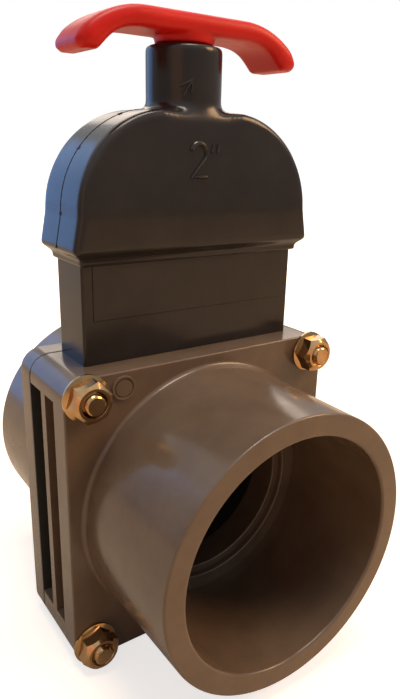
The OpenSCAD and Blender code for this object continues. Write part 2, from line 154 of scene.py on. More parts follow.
target = Vector((0, 0, 0.08))
for name, place, size, power, colour in (
    ("top_box", (0.08, -0.15, 1.6), 0.7, 18.0, "FFF2E4"),
    ("right_box", (0.75, -0.5, 0.65), 0.4, 6.6, "FFC992"),
    ("left_box", (-0.8, -0.6, 0.25), 0.6, 0.8, "FF9C50"),
    ("cool_back_box", (-0.4, 1.0, 0.3), 0.7, 2.7, "64ACFF"),
    ("high_back_box", (0.55, 0.95, 0.8), 0.8, 4.0, "FFEAD6"),
):
    lamp = bpy.data.lights.new(name, "AREA")
    lamp.shape = "SQUARE"
    lamp.size = size
    lamp.energy = power
    lamp.color = linear(colour)[:3]
    box = bpy.data.objects.new(name, lamp)
    bpy.context.collection.objects.link(box)
    box.location = place
    box.visible_camera = False
    box.rotation_euler = (target - Vector(place)).to_track_quat("-Z", "Y").to_euler()

bpy.context.scene.view_settings.view_transform = "Standard"

# Front half of the body: one moulding of rigid PVC. It has a pipe socket with a stop inside, a
# square flange plate, and behind the plate the gate pocket's wall, a thin rib and four corners.
mm = 0.001
axis_z = frame["record"]["mounts"][0]["pos_m"][2]
socket_r = frame["record"]["mounts"][0]["dims"]["r_mm"] * mm
front_low, front_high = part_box("front_body")
flange_x = front_high.x
flange_top = front_high.z
flange_foot = front_low.z
mouth_y = -front_low.y
joint_y = front_high.y
socket_depth = 36.4 * mm
socket_wall = 5.9 * mm
root_wall = 6.35 * mm
stop_stand = 2.15 * mm
step_r = 27.2 * mm
step_depth = 1.8 * mm
waterway_r = 25 * mm
stop_y = mouth_y - socket_depth
plate_out = stop_y - stop_stand
plate_t = 6.7 * mm
plate_in = plate_out - plate_t
corner_r = 5.7 * mm
pocket_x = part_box("gate_housing")[1].x - 1.05 * mm
pocket_wall = 3.4 * mm
bolt_x = (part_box("nut_top_right")[0].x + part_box("nut_top_right")[1].x) / 2
bolt_up = bolt_x
# How far a joined shape runs into its neighbour, how far a cut runs past a face, and how near two
# places have to be to count as one.
overlap = 0.5 * mm
past = 1 * mm
hair = 0.01 * mm


def select_only(piece):
    """Selects one piece and nothing else, and makes it the active one."""
    bpy.ops.object.select_all(action="DESELECT")
    piece.select_set(True)
    bpy.context.view_layer.objects.active = piece


def box_piece(name, low, high):
    """Adds a cube between two corners and selects only it."""
    bpy.ops.object.select_all(action="DESELECT")
    low, high = Vector(low), Vector(high)
    bpy.ops.mesh.primitive_cube_add(size=1, location=(low + high) / 2, scale=high - low)
    bpy.ops.object.transform_apply(location=True, rotation=True, scale=True)
    bpy.context.object.name = name
    return bpy.context.object


def pipe_wise(name, radius, y0, y1, x=0, z=axis_z, sides=160, turn=0):
    """Adds a round bar along the pipe between two distances, at the bore's axis or another place."""
    bpy.ops.object.select_all(action="DESELECT")
    bpy.ops.mesh.primitive_cylinder_add(
        vertices=sides,
        radius=radius,
        depth=abs(y1 - y0),
        location=(x, (y0 + y1) / 2, z),
        rotation=(math.pi / 2, turn, 0),
    )
    bpy.ops.object.transform_apply(location=True, rotation=True, scale=True)
    bpy.context.object.name = name
    return bpy.context.object


def choose(piece, kind, test):
    """Puts a piece in edit mode with only the elements of one kind selected that pass a test."""
    bpy.ops.object.mode_set(mode="OBJECT")
    select_only(piece)
    bpy.ops.object.mode_set(mode="EDIT")
    bpy.ops.mesh.select_mode(type=kind)
    bpy.ops.mesh.select_all(action="DESELECT")
    shape = bmesh.from_edit_mesh(piece.data)
    for item in {"VERT": shape.verts, "EDGE": shape.edges, "FACE": shape.faces}[kind]:
        if test(item):
            item.select_set(True)
    shape.select_flush_mode()
    bmesh.update_edit_mesh(piece.data)


def bevel(piece, offset, segments, test):
    """Rounds the edges of a piece that pass a test."""
    choose(piece, "EDGE", test)
    bpy.ops.mesh.bevel(
        offset=offset,
        offset_type="OFFSET",
        segments=segments,
        affect="EDGES",
        clamp_overlap=False,
    )
    bpy.ops.object.mode_set(mode="OBJECT")


def combine(piece, tool, operation, solver="EXACT"):
    """Adds another piece to a piece, or cuts it away, and removes the other piece."""
    modifier = piece.modifiers.new("combine", "BOOLEAN")
    modifier.operation = operation
    modifier.object = tool
    modifier.solver = solver
    select_only(piece)
    bpy.ops.object.modifier_apply(modifier=modifier.name)
    bpy.data.objects.remove(tool)


def is_sharp(edge, degrees=40):
    return len(edge.link_faces) == 2 and edge.calc_face_angle(0) > math.radians(degrees)


def along(edge, axis):
    """True where an edge runs along X, Y or Z, given as 0, 1 or 2."""
    run = edge.verts[1].co - edge.verts[0].co
    return abs(run[axis]) > 0.999 * run.length


def from_axis(point):
    """Distance of a point from the bore's axis."""
    return math.hypot(point.x, point.z - axis_z)


def lies_on(edge, y=None, radius=None, slack=0.05 * mm):
    """True where both ends of an edge lie at one distance along the pipe and at one radius."""
    for vert in edge.verts:
        if y is not None and abs(vert.co.y - y) > slack:
            return False
        if radius is not None and abs(from_axis(vert.co) - radius) > slack:
            return False
    return True


def flange_block(name, y0, y1):
    """A plate with the flange's outline: a rectangle with round corners."""
    plate = box_piece(name, (-flange_x, y0, flange_foot), (flange_x, y1, flange_top))
    bevel(plate, corner_r, 10, lambda edge: along(edge, 1))
    return plate


def pocket_block(name, grow, y0, y1, top):
    """The gate pocket's shape: straight sides and a half-round foot."""
    block = pipe_wise(name, pocket_x + grow, y0, y1)
    sides = box_piece("sides", (-pocket_x - grow, y0, axis_z), (pocket_x + grow, y1, top))
    combine(block, sides, "UNION")
    return block


def flanged_socket(name):
    """A flange plate with its pipe socket, towards the front."""
    plate = flange_block(name, -plate_out, -plate_in)
    root_r = socket_r + root_wall
    mouth_r = socket_r + socket_wall
    barrel = pipe_wise("barrel", root_r, -plate_in - past, -mouth_y)
    choose(barrel, "FACE", lambda face: abs(face.calc_center_median().y + mouth_y) < hair)
    k = mouth_r / root_r
    bpy.ops.transform.resize(value=(k, 1, k), center_override=(0, -mouth_y, axis_z))
    bpy.ops.mesh.inset(thickness=socket_wall)
    bpy.ops.mesh.extrude_region_move(TRANSFORM_OT_translate={"value": (0, socket_depth, 0)})
    bpy.ops.mesh.inset(thickness=socket_r - step_r)
    bpy.ops.mesh.extrude_region_move(TRANSFORM_OT_translate={"value": (0, step_depth, 0)})
    bpy.ops.object.mode_set(mode="OBJECT")
    combine(plate, barrel, "UNION")
    return plate


front = flanged_socket("front_half")
wall = pocket_block("wall", pocket_wall, -plate_in - overlap, joint_y, flange_top)
combine(front, wall, "UNION")
rib_y = (-2.45 * mm, 0.25 * mm)
combine(front, flange_block("rib", *rib_y), "UNION")
corner_in = 4.5 * mm
corner_down = 2.3 * mm
for side in (-1, 1):
    inner, outer = pocket_x + past, flange_x
    for low_x, low_z, high_z, corner_z in (
        (inner, axis_z + bolt_up - corner_down, flange_top, flange_top),
        (bolt_x - corner_in, flange_foot, axis_z - bolt_up + corner_in, flange_foot),
    ):
        xs = sorted((side * low_x, side * outer))
        block = box_piece("corner", (xs[0], -plate_in - overlap, low_z), (xs[1], joint_y, high_z))
        bevel(
            block,
            corner_r,
            10,
            lambda edge: along(edge, 1)
            and abs(edge.verts[0].co.x - side * outer) < hair
            and abs(edge.verts[0].co.z - corner_z) < hair,
        )
        combine(front, block, "UNION")
pocket_floor = 1.7 * mm
pocket_y = plate_in - pocket_floor
pocket = pocket_block("pocket", 0, -pocket_y, joint_y + past, flange_top + past)
combine(front, pocket, "DIFFERENCE")
combine(front, pipe_wise("waterway", waterway_r, -plate_out - past, 0), "DIFFERENCE")


def round_socket(piece, facing):
    """Gives a socket a fillet at its root, and rounds its mouth, stop, step and the plate's edge."""
    root_r = socket_r + root_wall
    mouth_r = socket_r + socket_wall
    root_fillet = 1.2 * mm
    mouth_round = 0.6 * mm
    mouth_chamfer = 0.8 * mm
    stop_round = 0.5 * mm
    plate_round = 0.45 * mm
    past_root = root_r + 2.5 * mm
    bevel(piece, root_fillet, 5, lambda edge: lies_on(edge, facing * plate_out, root_r, 0.09 * mm))
    bevel(piece, mouth_round, 3, lambda edge: lies_on(edge, facing * mouth_y, mouth_r))
    bevel(piece, mouth_chamfer, 3, lambda edge: lies_on(edge, facing * mouth_y, socket_r))
    bevel(piece, stop_round, 3, lambda edge: lies_on(edge, facing * stop_y, step_r))
    bevel(piece, stop_round, 3, lambda edge: lies_on(edge, facing * (stop_y - step_depth), waterway_r))
    bevel(
        piece,
        plate_round,
        3,
        lambda edge: lies_on(edge, facing * plate_out)
        and from_axis(edge.verts[0].co) > past_root
        and is_sharp(edge),
    )


def finish(piece, angle=35):
    """Closes the seams of a piece, smooths its curved faces and keeps its flat faces flat."""
    seam = 0.002 * mm
    choose(piece, "VERT", lambda vert: True)
    bpy.ops.mesh.remove_doubles(threshold=seam)
    choose(piece, "FACE", lambda face: sum(len(edge.link_faces) == 1 for edge in face.edges) > 1)
    bpy.ops.mesh.delete(type="FACE")
    bpy.ops.object.mode_set(mode="OBJECT")
    bpy.ops.object.shade_smooth_by_angle(angle=math.radians(angle))
    modifier = piece.modifiers.new("flat faces", "WEIGHTED_NORMAL")
    modifier.keep_sharp = True
    bpy.ops.object.modifier_apply(modifier=modifier.name)


round_socket(front, -1)


def round_joint(piece, y):
    """Rounds the outer edges of a half where it meets the other, which leaves a small groove."""
    slack = 0.1 * mm
    joint_round = 0.3 * mm
    inner_x = flange_x - corner_r - slack
    foot = flange_foot + corner_r + slack
    top = flange_top - slack
    choose(piece, "FACE", lambda face: all(abs(vert.co.y - y) < hair for vert in face.verts))
    bpy.ops.mesh.dissolve_limited(angle_limit=math.radians(0.5))
    bevel(
        piece,
        joint_round,
        2,
        lambda edge: lies_on(edge, y)
        and is_sharp(edge, 60)
        and all(abs(vert.co.x) > inner_x or not foot < vert.co.z < top for vert in edge.verts)
        and not all(abs(vert.co.x) < flange_x - slack and foot < vert.co.z < top for vert in edge.verts)
        and not all(abs(vert.co.x) < pocket_x + slack and vert.co.z > top for vert in edge.verts),
    )


round_joint(front, joint_y)
mark_r = 3.3 * mm
mark_y = -plate_out - 0.5 * mm
mark_x = -26.1 * mm
mark_z = axis_z + 36.9 * mm
mark = pipe_wise("ejector_mark", mark_r, -plate_out + past, mark_y, mark_x, mark_z, 48)
choose(mark, "FACE", lambda face: abs(face.calc_center_median().y - mark_y) < hair)
for inset, push in ((0.7 * mm, 0.45 * mm), (0.3 * mm, -0.35 * mm)):
    bpy.ops.mesh.inset(thickness=inset)
    bpy.ops.mesh.extrude_region_move(TRANSFORM_OT_translate={"value": (0, push, 0)})
bevel(
    mark,
    0.15 * mm,
    2,
    lambda edge: edge.verts[0].co.y < -plate_out and not along(edge, 1) and is_sharp(edge),
)
combine(front, mark, "UNION")
finish(front)


def moulded_plastic(name, colour, cloud, gloss, ior, wave_depth=0.02, grain_depth=0.002):
    """Smooth moulded plastic: faint clouds of a second shade, a slow wave and a fine grain.

    Depths are in millimetres, and gloss is the range of the roughness."""
    cloud_mm = 14
    rubbed_mm = 5
    wave_mm = 9
    grain_mm = 0.4
    material, tree = new_material(name)
    place = add_node(tree, "ShaderNodeTexCoord").outputs["Object"]
    clouds = add_node(
        tree,
        "ShaderNodeTexNoise",
        {"Vector": place, "Scale": 1000 / cloud_mm, "Detail": 4.0, "Roughness": 0.6},
    )
    amount = add_node(
        tree, "ShaderNodeMapRange", {"Value": clouds.outputs[0], "From Min": 0.35, "From Max": 0.68}
    )
    shade = add_node(
        tree,
        "ShaderNodeMix",
        {"Factor": amount.outputs[0], 6: linear(colour), 7: linear(cloud)},
        data_type="RGBA",
    )
    rubbed = add_node(
        tree,
        "ShaderNodeTexNoise",
        {"Vector": place, "Scale": 1000 / rubbed_mm, "Detail": 5.0, "Roughness": 0.65},
    )
    dullness = add_node(
        tree,
        "ShaderNodeMapRange",
        {
            "Value": rubbed.outputs[0],
            "From Min": 0.3,
            "From Max": 0.7,
            "To Min": gloss[0],
            "To Max": gloss[1],
        },
    )
    wave = add_node(tree, "ShaderNodeTexNoise", {"Vector": place, "Scale": 1000 / wave_mm, "Detail": 1.0})
    wavy = add_node(
        tree, "ShaderNodeBump", {"Height": wave.outputs[0], "Strength": 1.0, "Distance": wave_depth * mm}
    )
    grain = add_node(tree, "ShaderNodeTexNoise", {"Vector": place, "Scale": 1000 / grain_mm, "Detail": 1.0})
    grainy = add_node(
        tree,
        "ShaderNodeBump",
        {
            "Height": grain.outputs[0],
            "Strength": 0.5,
            "Distance": grain_depth * mm,
            "Normal": wavy.outputs[0],
        },
    )
    surface = add_node(
        tree,
        "ShaderNodeBsdfPrincipled",
        {
            "Base Color": shade.outputs[2],
            "Roughness": dullness.outputs[0],
            "IOR": ior,
            "Normal": grainy.outputs[0],
        },
    )
    add_node(tree, "ShaderNodeOutputMaterial", {"Surface": surface.outputs[0]})
    return material


def clothe(piece, material):
    """Gives a piece one material in place of any it has."""
    piece.data.materials.clear()
    piece.data.materials.append(material)


# Rigid PVC, injection moulded in polished steel: dark warm grey-brown, glossy, with a slow wave
# in its reflections and edges that catch the light.
pvc = moulded_plastic("moulded_rigid_pvc", "605145", "6C5D4F", (0.14, 0.26), 1.45)
clothe(front, pvc)
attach(front, "valve_body")
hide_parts("front_body")

# Rear half of the body: the same socket and flange plate as in front, turned to the rear, with a
# pad that closes the gate pocket and four hexagonal pockets that keep the bolt heads from turning.
rear = flanged_socket("rear_half")
select_only(rear)
rear.rotation_euler = (0, 0, math.pi)
bpy.ops.object.transform_apply(location=True, rotation=True, scale=True)
fit_gap = 0.05 * mm
pad_top = flange_top - 0.02 * mm
pad = pocket_block("pad", -fit_gap, pocket_y, plate_in + overlap, pad_top)
combine(rear, pad, "UNION")
combine(rear, pipe_wise("waterway", waterway_r, 0, plate_out + past), "DIFFERENCE")
round_socket(rear, 1)
round_joint(rear, plate_in)
head_h = 4 * mm
head_sink = 0.3 * mm
seat_y = plate_out - head_sink - head_h
head_w = 8 * mm
head_gap = 0.15 * mm
head_pocket_r = (head_w / 2 + head_gap) / math.cos(math.radians(30))
corners = [(side * bolt_x, axis_z + up * bolt_up) for up in (1, -1) for side in (-1, 1)]
for x, z in corners:
    recess = pipe_wise("recess", head_pocket_r, seat_y, plate_out + past, x, z, 6, math.radians(30))
    combine(rear, recess, "DIFFERENCE")
finish(rear)
clothe(rear, pvc)
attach(rear, "valve_body")
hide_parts("rear_body")


# Seals and gasket: moulded nitrile rubber, matt black. A ring stands on each side of the gate, a
# thin gasket lies in the joint of the body, and a wiper ring closes the neck round the rod.
def nitrile_rubber():
    material, tree = new_material("moulded_nitrile_rubber")
    place = add_node(tree, "ShaderNodeTexCoord").outputs["Object"]
    bloom = add_node(tree, "ShaderNodeTexNoise", {"Vector": place, "Scale": 1000 / 3, "Detail": 5.0})
    shade = add_node(
        tree,
        "ShaderNodeMix",
        {"Factor": bloom.outputs[0], 6: linear("161514"), 7: linear("24221F")},
        data_type="RGBA",
    )
    grain = add_node(tree, "ShaderNodeTexNoise", {"Vector": place, "Scale": 1000 / 0.25, "Detail": 3.0})
    bump = add_node(
        tree, "ShaderNodeBump", {"Height": grain.outputs[0], "Strength": 0.7, "Distance": 0.01 * mm}
    )
    surface = add_node(
        tree,
        "ShaderNodeBsdfPrincipled",
        {"Base Color": shade.outputs[2], "Roughness": 0.62, "IOR": 1.5, "Normal": bump.outputs[0]},
    )
    add_node(tree, "ShaderNodeOutputMaterial", {"Surface": surface.outputs[0]})
    return material


rubber = nitrile_rubber()
for node in ("front_seal", "rear_seal", "body_gasket", "rod_seal"):
    clothe(frame["nodes"][node], rubber)

# Gate: a flat moulded plate that slides between the seals. It is smooth and dark, and it closes
# the far end of the socket like a wall.
gate_plastic = moulded_plastic("moulded_gate_plate", "211D1A", "2A2521", (0.3, 0.45), 1.4)
clothe(frame["nodes"]["gate_blade"], gate_plastic)

# Housing: a rectangular sleeve of charcoal plastic that the gate slides up in. Its narrower tongue
# goes down between the body halves, and each face has a shallow raised panel.
housing_low, housing_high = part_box("gate_housing")
cap_low, cap_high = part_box("bonnet_cap")
lip_z = cap_low.z
panel_t = 0.3 * mm
panel_h = 13.9 * mm
panel_margin = 2.8 * mm
housing_x = housing_high.x
housing_y = housing_high.y - panel_t
housing_step = 1.1 * mm
housing_wall = 3.1 * mm
gate_room_x = housing_x - housing_wall
gate_room_y = housing_y - housing_wall
housing = box_piece(
    "housing", (-housing_x, -housing_y, flange_top), (housing_x, housing_y, housing_high.z)
)
bevel(housing, 0.7 * mm, 4, lambda edge: along(edge, 2))
tongue_x, tongue_y = housing_x - housing_step, housing_y - housing_step
tongue = box_piece(
    "tongue", (-tongue_x, -tongue_y, housing_low.z), (tongue_x, tongue_y, flange_top + past)
)
bevel(tongue, 0.5 * mm, 3, lambda edge: along(edge, 2))
combine(housing, tongue, "UNION")
hollow = box_piece(
    "hollow",
    (-gate_room_x, -gate_room_y, housing_low.z - past),
    (gate_room_x, gate_room_y, housing_high.z + past),
)
combine(housing, hollow, "DIFFERENCE")
for side in (-1, 1):
    ys = sorted((side * (housing_y - overlap), side * (housing_y + panel_t)))
    panel_x = housing_x - panel_margin
    panel = box_piece("panel", (-panel_x, ys[0], lip_z - panel_h), (panel_x, ys[1], lip_z + past))
    bevel(panel, 0.18 * mm, 2, lambda edge: all(abs(vert.co.y) > housing_y for vert in edge.verts))
    combine(housing, panel, "UNION")
gate_mark_z = axis_z + 55.8 * mm
gate_mark = pipe_wise(
    "gate_mark", 0.8 * mm, -housing_y, -housing_y - panel_t, 12 * mm, gate_mark_z, 24
)
combine(housing, gate_mark, "UNION")
finish(housing)

# Charcoal moulded plastic, a little less glossy than the body and with a cooler, darker shade.
charcoal = moulded_plastic(
    "moulded_charcoal_abs", "232020", "2B2727", (0.18, 0.25), 1.38, wave_depth=0.03
)
clothe(housing, charcoal)
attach(housing, "valve_body")
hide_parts("gate_housing")

# Bonnet: a hollow cap of the same charcoal plastic, glued over the housing. Its shoulders are
# round, its faces lean in a little, and a neck on top guides the rod.
bonnet_x = cap_high.x
bonnet_y = cap_high.y
lip_h = 1.7 * mm
bevel_h = 2 * mm
bevel_out = 2.35 * mm
bonnet_h = 36.7 * mm
shoulder_r = 24.8 * mm
side_draft = 1.6 * mm
face_draft = 1.15 * mm
bonnet_wall = 2.6 * mm
side_z = lip_z + lip_h + bevel_h
bonnet_top = lip_z + bonnet_h
shoulder_z = bonnet_top - shoulder_r
shoulder_x = bonnet_x - side_draft


def arched_block(name, half_x, half_y, foot, shoulder, radius):
    """A block with a flat front and two round shoulders."""
    block = box_piece(name, (-half_x, -half_y, foot), (half_x, half_y, shoulder))
    choose(block, "FACE", lambda face: face.normal.z > 0.9)
    bpy.ops.mesh.extrude_region_move(TRANSFORM_OT_translate={"value": (0, 0, radius)})
    top = shoulder + radius
    bevel(block, radius * 0.999, 24, lambda edge: along(edge, 1) and edge.verts[0].co.z > top - 0.1 * mm)
    return block


bonnet = arched_block("bonnet", shoulder_x, bonnet_y, side_z, shoulder_z, shoulder_r)
choose(bonnet, "FACE", lambda face: face.normal.z < -0.9)
k = bonnet_x / shoulder_x
bpy.ops.transform.resize(value=(k, 1, 1), center_override=(0, 0, side_z))
bpy.ops.mesh.extrude_region_move(TRANSFORM_OT_translate={"value": (0, 0, -bevel_h)})
squeeze = ((bonnet_x - bevel_out) / bonnet_x, (bonnet_y - bevel_out) / bonnet_y, 1)
bpy.ops.transform.resize(value=squeeze, center_override=(0, 0, side_z - bevel_h))
bpy.ops.mesh.extrude_region_move(TRANSFORM_OT_translate={"value": (0, 0, -lip_h)})
bpy.ops.object.mode_set(mode="OBJECT")
for vert in bonnet.data.vertices:
    if vert.co.z > shoulder_z:
        rise = (vert.co.z - shoulder_z) / (bonnet_top - shoulder_z)
        vert.co.y *= 1 - face_draft / bonnet_y * rise
bevel(
    bonnet,
    1.6 * mm,
    5,
    lambda edge: is_sharp(edge)
    and not along(edge, 1)
    and min(edge.verts[0].co.z, edge.verts[1].co.z) > side_z - hair
    and max(edge.verts[0].co.z, edge.verts[1].co.z) > side_z + hair,
)
neck_r = 9.7 * mm
neck_top = cap_high.z


def upright(name, radius, z0, z1, sides=96):
    """Adds a round bar on the rod's axis between two heights."""
    bpy.ops.object.select_all(action="DESELECT")
    bpy.ops.mesh.primitive_cylinder_add(
        vertices=sides, radius=radius, depth=z1 - z0, location=(0, 0, (z0 + z1) / 2)
    )
    bpy.ops.object.transform_apply(location=True, rotation=True, scale=True)
    bpy.context.object.name = name
    return bpy.context.object


neck_root = 7 * mm
neck_round = 0.9 * mm
neck = upright("neck", neck_r, bonnet_top - neck_root, neck_top)
bevel(
    neck,
    neck_round,
    3,
    lambda edge: not along(edge, 2) and edge.verts[0].co.z > neck_top - hair and is_sharp(edge),
)
combine(bonnet, neck, "UNION")


def soften(piece, voxel, rounds):
    """Joins a piece into one even skin and smooths the corners where its parts meet."""
    even = piece.modifiers.new("even", "REMESH")
    even.mode = "VOXEL"
    even.voxel_size = voxel
    even.use_smooth_shade = True
    relax = piece.modifiers.new("relax", "SMOOTH")
    relax.factor = 0.5
    relax.iterations = rounds
    select_only(piece)
    bpy.ops.object.modifier_apply(modifier=even.name)
    bpy.ops.object.modifier_apply(modifier=relax.name)


soften(bonnet, 0.42 * mm, 12)
for reach in (4.5 * mm, 3.5 * mm, 2.5 * mm, 1.5 * mm):
    choose(
        bonnet,
        "VERT",
        lambda vert: abs(vert.co.z - bonnet_top) < reach
        and abs(math.hypot(vert.co.x, vert.co.y) - neck_r) < reach + 1 * mm,
    )
    bpy.ops.mesh.vertices_smooth(factor=0.5, repeat=12)
    bpy.ops.object.mode_set(mode="OBJECT")
room = arched_block(
    "room",
    shoulder_x - bonnet_wall,
    bonnet_y - face_draft - bonnet_wall,
    housing_high.z - 0.1 * mm,
    shoulder_z,
    shoulder_r - bonnet_wall,
)
combine(bonnet, room, "DIFFERENCE", "MANIFOLD")
seat = box_piece(
    "seat",
    (-housing_x - fit_gap, -housing_y - fit_gap, lip_z - past),
    (housing_x + fit_gap, housing_y + fit_gap, housing_high.z),
)
combine(bonnet, seat, "DIFFERENCE", "MANIFOLD")
rod_way = upright("rod_way", 4.12 * mm, lip_z, neck_top + past)
combine(bonnet, rod_way, "DIFFERENCE", "MANIFOLD")
seal_seat = upright("seal_seat", 6.65 * mm, neck_top - 3 * mm, neck_top + past)
combine(bonnet, seal_seat, "DIFFERENCE", "MANIFOLD")
finish(bonnet)
clothe(bonnet, charcoal)
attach(bonnet, "valve_body")
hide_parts("bonnet_cap")


# Raised marks: the pipe's nominal size in inches on the bonnet's front, and a small arrow on the
# neck that shows which way the handle opens. Each is a half-round ridge of the same moulding.
def ridge(name, strokes, radius):
    """Round ridges along strokes, each a list of places."""
    curve = bpy.data.curves.new(name, "CURVE")
    curve.dimensions = "3D"
    curve.bevel_depth = radius
    curve.bevel_resolution = 3
    curve.use_fill_caps = True
    for places in strokes:
        spline = curve.splines.new("POLY")
        spline.points.add(len(places) - 1)
        for point, place in zip(spline.points, places):
            point.co = (*place, 1)
    piece = bpy.data.objects.new(name, curve)
    bpy.context.collection.objects.link(piece)
    select_only(piece)
    bpy.ops.object.convert(target="MESH")
    return bpy.context.object


def face_y(z):
    """Distance of the bonnet's front face from the gate's plane at a height."""
    return -(bonnet_y - face_draft * (z - shoulder_z) / (bonnet_top - shoulder_z))


def on_face(x, up):
    z = axis_z + up * mm
    return (x * mm, face_y(z), z)


figure_x, figure_w, figure_foot, figure_top = -2.1, 2.3, 87.5, 95.6
bowl = figure_w
bowl_z = figure_top - bowl
figure = [
    on_face(figure_x + bowl * math.cos(math.radians(a)), bowl_z + bowl * math.sin(math.radians(a)))
    for a in range(165, -50, -12)
]
figure += [on_face(figure_x - figure_w, figure_foot), on_face(figure_x + figure_w, figure_foot)]
ticks = [[on_face(x, 93.3), on_face(x + 0.6, 95.4)] for x in (1.8, 3.4)]
for name, strokes, radius in (("size_mark", [figure], 0.55 * mm), ("inch_mark", ticks, 0.42 * mm)):
    mark = ridge(name, strokes, radius)
    finish(mark)
    clothe(mark, charcoal)
    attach(mark, "valve_body")


def on_neck(x, up):
    return (x * mm, -math.sqrt(neck_r**2 - (x * mm) ** 2), axis_z + up * mm)


arrow = ridge(
    "lift_mark",
    [
        [on_neck(-5.2, 106.6), on_neck(-3.2, 110.2)],
        [on_neck(-6.0, 108.6), on_neck(-4.6, 109.4), on_neck(-3.2, 110.2)],
        [on_neck(-3.2, 110.2), on_neck(-3.3, 108.4), on_neck(-3.5, 106.9)],
    ],
    0.36 * mm,
)
finish(arrow)
clothe(arrow, charcoal)
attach(arrow, "valve_body")


# Parting line: a thin ridge where the halves of the mould met, round the bonnet's edge. Three low
# lumps on it are the marks of the gates, cut off.
def edge_place(side, turn, depth=0):
    """A place on the bonnet's edge or below it: on a shoulder at an angle, or at the side's foot."""
    if turn is None:
        return (side * bonnet_x, 0, side_z)
    angle = math.radians(turn)
    radius = shoulder_r - depth
    across = shoulder_x - shoulder_r + radius * math.cos(angle)
    return (side * across, 0, shoulder_z + radius * math.sin(angle))


turns = [None] + list(range(0, 91, 5))
line_strokes = [[edge_place(side, turn) for turn in turns] for side in (-1, 1)]
bonnet_line = ridge("bonnet_parting_line", line_strokes, 0.13 * mm)
lump_depth = 0.8 * mm
lump_strokes = [
    [edge_place(-1, turn - 1, lump_depth), edge_place(-1, turn + 1, lump_depth)] for turn in (0, 38, 70)
]
gate_lumps = ridge("gate_lumps", lump_strokes, 1.1 * mm)
for line in (bonnet_line, gate_lumps):
    finish(line)
    clothe(line, charcoal)
    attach(line, "valve_body")


# Rod and rivet: drawn stainless steel bar, slotted at its foot to hold the gate's tab, with a
# rivet through both. It shows between the neck and the handle when the gate is pulled up.
def drawn_steel():
    material, tree = new_material("drawn_stainless_steel")
    place = add_node(tree, "ShaderNodeTexCoord").outputs["Object"]
    along_rod = add_node(tree, "ShaderNodeMapping", {"Vector": place, "Scale": (1.0, 1.0, 0.02)})
    lines = add_node(
        tree, "ShaderNodeTexNoise", {"Vector": along_rod.outputs[0], "Scale": 1000 / 0.3, "Detail": 3.0}
    )
    dullness = add_node(
        tree, "ShaderNodeMapRange", {"Value": lines.outputs[0], "To Min": 0.2, "To Max": 0.42}
    )
    bump = add_node(
        tree, "ShaderNodeBump", {"Height": lines.outputs[0], "Strength": 0.4, "Distance": 0.005 * mm}
    )
    surface = add_node(
        tree,
        "ShaderNodeBsdfPrincipled",
        {
            "Base Color": linear("B9B7B2"),
            "Metallic": 1.0,
            "Roughness": dullness.outputs[0],
            "Normal": bump.outputs[0],
        },
    )
    add_node(tree, "ShaderNodeOutputMaterial", {"Surface": surface.outputs[0]})
    return material


steel = drawn_steel()
for node in ("pull_rod", "rod_rivet"):
    clothe(frame["nodes"][node], steel)

# Handle: one moulding of red plastic, a bar with two drooping wings and a hub below that is
# screwed onto the rod. All of its edges are well rounded for the fingers.
handle_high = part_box("handle")[1]
tip_x = handle_high.x
handle_top = handle_high.z
droop = 10.6 * mm
tip_z = handle_top - droop
rest_gap = 0.3 * mm
hub_foot = neck_top + rest_gap
bar_t = 4.8 * mm
bar_foot = handle_top - bar_t
flat_x = 14.5 * mm
tip_w = 5 * mm
handle_half = 8 * mm


def arc(x, z, radius, start, end, count):
    """Points of an arc in the X-Z plane."""
    turns = [math.radians(start + (end - start) * i / count) for i in range(count + 1)]
    return [(x + radius * math.cos(turn), z + radius * math.sin(turn)) for turn in turns]


def bend(p0, p1, p2, p3, count):
    """Points of a cubic curve between two points with two guide points."""
    steps = [i / count for i in range(count + 1)]
    return [
        tuple(
            (1 - t) ** 3 * a + 3 * (1 - t) ** 2 * t * b + 3 * (1 - t) * t * t * c + t**3 * d
            for a, b, c, d in zip(p0, p1, p2, p3)
        )
        for t in steps
    ]


heel_x = tip_x - tip_w
swing = (tip_x - flat_x) / 2
rise = droop / 4
tip_round = 1.5 * mm
half = bend(
    (flat_x, bar_foot),
    (heel_x - swing / 2, bar_foot),
    (heel_x - swing / 3, tip_z + rise),
    (heel_x, tip_z),
    12,
)
half += arc(tip_x - tip_round, tip_z + tip_round, tip_round, 270, 380, 6)
half += bend(
    (tip_x - tip_round / 4, tip_z + rise),
    (tip_x - tip_round, tip_z + 2 * rise),
    (flat_x + swing, handle_top),
    (flat_x, handle_top),
    14,
)
outline = half + [(-x, z) for x, z in reversed(half)]
bpy.ops.object.select_all(action="DESELECT")
bpy.ops.mesh.primitive_circle_add(vertices=len(outline), fill_type="NGON")
grip = bpy.context.object
for vert, (x, z) in zip(grip.data.vertices, outline):
    vert.co = (x, -handle_half, z)
choose(grip, "FACE", lambda face: True)
bpy.ops.mesh.extrude_region_move(TRANSFORM_OT_translate={"value": (0, 2 * handle_half, 0)})
bpy.ops.mesh.select_all(action="SELECT")
bpy.ops.mesh.normals_make_consistent(inside=False)
bpy.ops.object.mode_set(mode="OBJECT")
plan = box_piece(
    "plan", (-tip_x, -handle_half, tip_z - past), (tip_x, handle_half, handle_top + past)
)
bevel(plan, 3 * mm, 6, lambda edge: along(edge, 2))
combine(grip, plan, "INTERSECT")
bevel(grip, 1.9 * mm, 5, lambda edge: is_sharp(edge, 50))
hub_r = 7.5 * mm
combine(grip, upright("hub", hub_r, hub_foot, bar_foot + 2 * mm), "UNION")
soften(grip, 0.4 * mm, 14)
rod_hole_r = 4.05 * mm
rod_grip = 4.6 * mm
rod_hole = upright("rod_hole", rod_hole_r, hub_foot - past, hub_foot + rod_grip)
combine(grip, rod_hole, "DIFFERENCE")
grip.name = "handle_grip"
bpy.ops.object.shade_smooth_by_angle(angle=math.radians(50))

